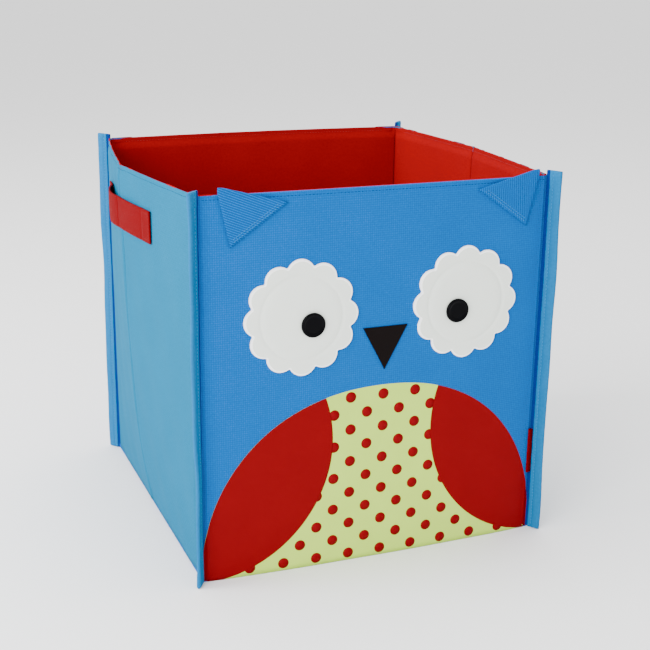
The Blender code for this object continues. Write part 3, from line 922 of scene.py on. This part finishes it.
def dots(finish):
    """Printed dots in staggered rows; those under a wing's edge show past it."""
    points, faces = [], []
    spokes = 28
    for row in range(11):
        up = BELLY_HIGH.z - 8.3 * MM - DOT_ROW * row
        for column in range(-9, 10):
            if (row + column) % 2:
                continue
            x = FACE_X + column * DOT_PITCH
            if not shows(x, up):
                continue
            angle = 2 * math.pi * np.arange(spokes) / spokes
            rim_x = np.append(x + DOT_RADIUS * np.cos(angle), x)
            rim_z = np.append(up + DOT_RADIUS * np.sin(angle), up)
            base = len(points) * (spokes + 1)
            points.append(on_front(rim_x, rim_z, 0.2 * MM))
            faces += [[base + spokes, base + i, base + (i + 1) % spokes] for i in range(spokes)]
    ink = piece("belly_dots", np.concatenate(points), faces, finish["dot"], "front")
    layer = ink.modifiers.new("ink", "SOLIDIFY")
    layer.thickness = 0.06 * MM
    layer.offset = -1.0


def button(finish, side, lift):
    """A moulded button: dished face, rounded rim and straight skirt."""
    low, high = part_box(f"{side}_eye_button")
    x, z = (low.x + high.x) / 2, (low.z + high.z) / 2
    radius = (high.x - low.x) / 2
    seat = on_front(np.array([x]), np.array([z]), lift)[0][1]
    # Shares of the radius and heights in millimetres, from the dish's middle to the skirt
    face = 2.3
    profile = [(0.35, 2.28), (0.62, 2.2), (0.70, 2.25), (0.755, 2.6), (0.80, 2.85), (0.85, 2.97),
               (0.90, 2.98), (0.95, 2.8), (0.985, 2.4), (1.0, 1.8), (1.0, 0.4), (0.96, 0.0)]
    spokes = 64
    angle = 2 * math.pi * np.arange(spokes) / spokes
    rows = [np.stack([x + r * radius * np.cos(angle), np.full(spokes, seat - h * MM), z + r * radius
                      * np.sin(angle)], -1) for r, h in profile[::-1]]
    faces = grid_faces(len(rows), spokes, closed=True)
    points = np.array(rows).reshape(-1, 3)
    last = (len(rows) - 1) * spokes
    points = np.append(points, [[x, seat - face * MM, z], [x, seat, z]], axis=0)
    tip, under = len(points) - 2, len(points) - 1
    for i in range(spokes):
        faces.append([last + i, last + (i + 1) % spokes, tip])
        faces.append([(i + 1) % spokes, i, under])
    made = piece(f"{side}_button", points, faces, finish["button"], "front")
    smooth = made.modifiers.new("moulded", "SUBSURF")
    smooth.levels = smooth.render_levels = 1
    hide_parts(f"{side}_eye_button")


def eye(context, finish, side):
    """A lobed leatherette patch with a stitched ring, and a button with a raised rim."""
    low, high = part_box(f"{side}_eye_patch")
    x, z = (low.x + high.x) / 2, (low.z + high.z) / 2
    outer = (high.z - low.z) / 2
    notch = outer - LOBE_NOTCH
    half_lobe = math.pi / EYE_LOBES
    centre = (outer ** 2 - notch ** 2) / (2 * (outer - notch * math.cos(half_lobe)))
    lobe_radius = outer - centre
    spokes = EYE_LOBES * 16
    angle = 2 * math.pi * np.arange(spokes) / spokes
    off = (angle - EYE_TURN[side]) % (2 * half_lobe) - half_lobe
    edge = centre * np.cos(off) + np.sqrt(lobe_radius ** 2 - (centre * np.sin(off)) ** 2)
    spans = np.concatenate([np.linspace(0.02, 0.7, 14), np.linspace(0.71, 0.96, 22),
                            [0.972, 0.985, 0.994, 1.0]])
    rows = []
    for span in spans:
        radius = edge * span
        inset = edge - radius
        lift = EYE_THICKNESS * (1 - 0.45 * np.exp(-inset / (0.35 * MM)))
        lift = lift - 0.5 * MM * near(radius - EYE_RING, 1.5 * MM)
        lift = lift + 0.5 * MM * smoothstep((EYE_RING - radius) / (6 * MM))
        px, pz = x + radius * np.cos(angle), z + radius * np.sin(angle)
        rows.append(on_front(px, pz, lift))
    rows.append(on_front(x + edge * np.cos(angle), z + edge * np.sin(angle), 0.1 * MM))
    points = np.array(rows)[::-1]
    faces = grid_faces(len(rows), spokes, closed=True)
    faces.append([(len(rows) - 1) * spokes + i for i in range(spokes)])
    patch = piece(f"{side}_eye_felt", points, faces, finish["patch"], "front")
    # The side and outer rim of the patch take the whiter finish: a painted highlight.
    patch.data.materials.append(finish["painted patch highlight"])
    for face in patch.data.polygons[:5 * spokes]:
        face.material_index = 1
    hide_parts(f"{side}_eye_patch")
    turn = np.linspace(0, 2 * math.pi, 200)
    circle = on_front(x + EYE_RING * np.cos(turn), z + EYE_RING * np.sin(turn), EYE_THICKNESS - 0.55 * MM)
    stitches(f"{side}_eye_stitches", [(circle, (0, -1, 0))], finish["white thread"], "front",
             context.scene.bin_shape.stitch)
    button(finish, side, EYE_THICKNESS + 0.5 * MM)


def beak(finish):
    """A leatherette triangle, point down."""
    low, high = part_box("beak")
    middle = (low.x + high.x) / 2
    share = np.linspace(0, 1, 30)
    up = low.z + (high.z - low.z) * share
    half = (high.x - low.x) / 2 * np.maximum(share, 0.02)
    x, z = spanned(up, middle - half, middle + half, np.linspace(0, 1, 34))
    triangle = sheet("beak_felt", on_front(x, z, 1.1 * MM), finish["beak"], "front", 1.0
                     * MM)
    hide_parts("beak")


class BIN_OT_face(bpy.types.Operator):
    """Belly, wings, dots, eyes and beak on the front wall."""

    bl_idname = "bin.face"
    bl_label = "Face"

    def execute(self, context):
        finish = finishes()
        belly(finish)
        for side, sign in SIDES:
            wing(finish, side, sign)
            eye(context, finish, side)
        dots(finish)
        beak(finish)
        return {"FINISHED"}


def ear(context, side):
    """A canvas flap, sewn down along its lower edge and curled a little at the tip."""
    shape, finish = context.scene.bin_shape, finishes()
    mesh = frame["nodes"][f"{side}_ear"].data
    flat = np.array([(v.co.x, v.co.z) for v in mesh.vertices])
    hinge = next(j for j in frame["joints"] if j["name"] == f"{side}_ear_flap")
    base = np.array([hinge["pos_m"][0], hinge["pos_m"][2]])
    run = np.array([hinge["axis"][0], hinge["axis"][2]])
    run = run / math.hypot(*run)
    rise = np.array([-run[1], run[0]])
    along, above = (flat - base) @ run, (flat - base) @ rise
    height = above.max()
    tip = along[above > height - 0.5 * MM].mean()
    ends = along[above < 0.2 * MM]
    heights = height * np.sin(np.linspace(0, math.pi / 2, 34))
    share = heights / height
    taper = (np.maximum(share - EAR_TIP, 0) / (1 - EAR_TIP)) ** 2
    taper = np.sqrt(np.clip(1 - taper, 0.02, 1))
    lean = tip + (ends.min() - tip) * (1 - share * 0.955)
    far = tip + (ends.max() - tip) * (1 - share * 0.955)
    middle = (lean + far) / 2
    lean = middle + (lean - middle) * taper
    far = middle + (far - middle) * taper
    across, tall = spanned(heights, lean, far, np.linspace(0, 1, 30))
    x = base[0] + across * run[0] + tall * rise[0]
    z = base[1] + across * run[1] + tall * rise[1]
    edge = np.minimum(np.minimum(across - lean[:, None], far[:, None] - across), tall)
    puff = 0.5 * MM * smoothstep(edge / (2.5 * MM)) - 0.3 * MM * near(tall - 3.2 * MM, 0.8 * MM)
    curl = shape.ear_curl * (tall / height) ** 2
    y = FRONT_Y - front_relief(x, np.minimum(z, RIM - 6 * MM)) - 1.9 * MM - puff - curl
    flap = sheet(f"{side}_ear_flap", np.stack([x, y, z], -1), finish[f"{side} ear"], f"{side}_ear",
                 1.6 * MM)
    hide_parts(f"{side}_ear")
    lines = []
    for offset in (2.2 * MM, 4.6 * MM):
        step = np.argmin(np.abs(heights - offset))
        row = np.stack([x[step], y[step] - 0.05 * MM, z[step]], -1)
        lines.append((row[2:-2], (0, -1, 0)))
    stitches(f"{side}_ear_stitches", lines, finish["blue thread"], f"{side}_ear", SEWING)


class BIN_OT_ears(bpy.types.Operator):
    """Two canvas flaps, sewn down along their lower edge and curled a little at the tip."""

    bl_idname = "bin.ears"
    bl_label = "Ears"

    def execute(self, context):
        for side, _ in SIDES:
            ear(context, side)
        return {"FINISHED"}


def half_strap(context, side, sign, half, way):
    """One half of a handle, from its sewn end to the fold line."""
    shape, finish = context.scene.bin_shape, finishes()
    body, bulge = f"{side}_{half}", getattr(shape, f"{side}_bulge")
    low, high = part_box(f"{side}_handle_{half}")
    reach = high.y - low.y
    run = np.linspace(0, reach + 0.3 * MM, 70)[::way * sign]
    along, up = np.meshgrid(run, np.linspace(low.z, high.z, 22))
    free = reach - 19 * MM
    rise = np.sin(math.pi * np.clip(along / free, 0, 1)) ** 0.8
    dip = 0.3 * MM * near(along - (reach - 18 * MM), 1.4 * MM)
    crown = 0.5 * MM * (1 - ((up - (low.z + high.z) / 2) / (15 * MM)) ** 2)
    y = CREASE_Y + way * along
    lift = 0.15 if half == "front" else 1.0
    stand = 0.5 * MM + shape.stand_off * rise * lift - dip + crown * rise
    wall = tent(y, up, bulge) + 0.4 * MM
    x = sign * (HALF_WIDTH + wall + stand + 1.5 * MM)
    strap = sheet(f"{side}_strap_{half}", np.stack([x, y, up], -1), finish["webbing"], body,
                  1.5 * MM)
    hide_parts(f"{side}_handle_{half}")
    # The sewn end's stitches run round a box: two columns, then two rows
    column = np.linspace(low.z + 3 * MM, high.z - 3 * MM, 20)
    row = CREASE_Y + way * np.linspace(reach - 15.5 * MM, reach - 3 * MM, 20)
    box = [(np.full(20, place), column) for place in row[::-19]]
    box += [(row, np.full(20, level)) for level in column[::19]]
    lines = []
    for there, level in box:
        out = HALF_WIDTH + tent(there, level, bulge) + 2.25 * MM
        lines.append((np.stack([sign * out, there, level], -1), (sign, 0, 0)))
    sewn = stitches(f"{side}_strap_{half}_stitches", lines, finish["red thread"], body,
                    SEWING)
    for cloth in (strap, sewn):
        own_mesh(cloth)


class BIN_OT_handles(bpy.types.Operator):
    """Webbing handles, each in two halves that meet at the fold line."""

    bl_idname = "bin.handles"
    bl_label = "Handles"

    def execute(self, context):
        for side, sign in SIDES:
            for half, way in HALVES:
                half_strap(context, side, sign, half, way)
        return {"FINISHED"}


class BIN_OT_tab(bpy.types.Operator):
    """A plain folded tab in the front right seam."""

    bl_idname = "bin.tab"
    bl_label = "Side Tab"

    def execute(self, context):
        finish = finishes()
        low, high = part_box("side_tab")
        turn = np.radians(np.linspace(90, 270, 13))
        radius = 0.75 * MM
        fold = [(low.x + radius + radius * math.cos(a), -radius * math.sin(a)) for a in turn]
        fold = [(high.x, -radius), *fold, (high.x, radius)]
        heights = np.linspace(low.z, high.z, 40)
        points = []
        for height in heights:
            for x, off in fold:
                seat = FRONT_Y - float(front_relief(np.array([x]), np.array([height]))[0])
                points.append((x, seat - 1.3 * MM + off, height))
        faces = grid_faces(len(heights), len(fold))
        tab = piece("side_tab_fold", points, faces, finish["webbing"], "front")
        layer = tab.modifiers.new("tape", "SOLIDIFY")
        layer.thickness = 0.5 * MM
        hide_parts("side_tab")
        return {"FINISHED"}


class BIN_OT_stage(bpy.types.Operator):
    """Pale floor, soft light and the camera."""

    bl_idname = "bin.stage"
    bl_label = "Stage"

    def execute(self, context):
        scene = context.scene
        bpy.ops.mesh.primitive_plane_add(size=30)
        floor = context.object
        floor.name = "floor"
        # Pale paper, matt, so that the bin's shadow is all that shows on it
        made = surface("floor matt paper", Roughness=0.9, Base_Color=(0.86, 0.86, 0.86, 1))[0]
        floor.data.materials.append(made)
        world = bpy.data.worlds.new("studio")
        world.use_nodes = True
        sky = world.node_tree.nodes["Background"]
        sky.inputs[0].default_value = (1, 1, 1, 1)
        sky.inputs[1].default_value = 1.7
        scene.world = world
        target = Vector((0, 0, 0.17))
        for name, place, size, power in (("key", (-1.75, 0.15, 1.1), 0.9, 46),
                                         ("front", (-1.15, -1.05, 0.9), 0.9, 30),
                                         ("top", (0.2, 0.5, 2.2), 1.6, 29)):
            light = bpy.data.lights.new(name, "AREA")
            light.size = size
            light.energy = power
            lamp = bpy.data.objects.new(name, light)
            lamp.location = place
            lamp.rotation_euler = (target - Vector(place)).to_track_quat("-Z", "Y").to_euler()
            scene.collection.objects.link(lamp)
        camera = bpy.data.cameras.new("camera")
        camera.lens = 68.86
        camera.sensor_width = 36
        viewer = bpy.data.objects.new("camera", camera)
        azimuth, elevation, roll = (math.radians(a) for a in (-21.82, 16.91, 0.79))
        back = Vector((math.sin(azimuth) * math.cos(elevation), -math.cos(azimuth) * math.cos(elevation),
                       math.sin(elevation)))
        level = (-back).to_track_quat("-Z", "Y").to_matrix()
        viewer.matrix_world = (Matrix.Translation((-0.4231, -1.0935, 0.5268))
                               @ (level @ Matrix.Rotation(roll, 3, "Z")).to_4x4())
        scene.collection.objects.link(viewer)
        scene.camera = viewer
        return {"FINISHED"}


PIECES = (BIN_OT_front_wall, BIN_OT_back_wall, BIN_OT_side_walls, BIN_OT_bindings, BIN_OT_base,
          BIN_OT_face, BIN_OT_ears, BIN_OT_handles, BIN_OT_tab, BIN_OT_stage)


class BIN_PT_panel(bpy.types.Panel):
    """Lists the bin's pieces in the 3D view's sidebar."""

    bl_label = "Fabric Bin"
    bl_idname = "BIN_PT_panel"
    bl_space_type = "VIEW_3D"
    bl_region_type = "UI"
    bl_category = "Fabric Bin"

    def draw(self, context):
        for group in (context.scene.bin_shape, context.scene.bin_colours):
            for key in group.__annotations__:
                self.layout.prop(group, key)
        for operator in PIECES:
            self.layout.operator(operator.bl_idname)


CLASSES = (BinShape, BinColours, *PIECES, BIN_PT_panel)


def register():
    """Registers the classes and the bin's settings."""
    for known in CLASSES:
        bpy.utils.register_class(known)
    bpy.types.Scene.bin_shape = bpy.props.PointerProperty(type=BinShape)
    bpy.types.Scene.bin_colours = bpy.props.PointerProperty(type=BinColours)


def unregister():
    """Takes the settings and classes away again."""
    del bpy.types.Scene.bin_shape
    del bpy.types.Scene.bin_colours
    for known in reversed(CLASSES):
        bpy.utils.unregister_class(known)


def main():
    """Builds every piece in order."""
    register()
    for operator in PIECES:
        group, name = operator.bl_idname.split(".")
        getattr(getattr(bpy.ops, group), name)()


if __name__ == "__main__":
    main()
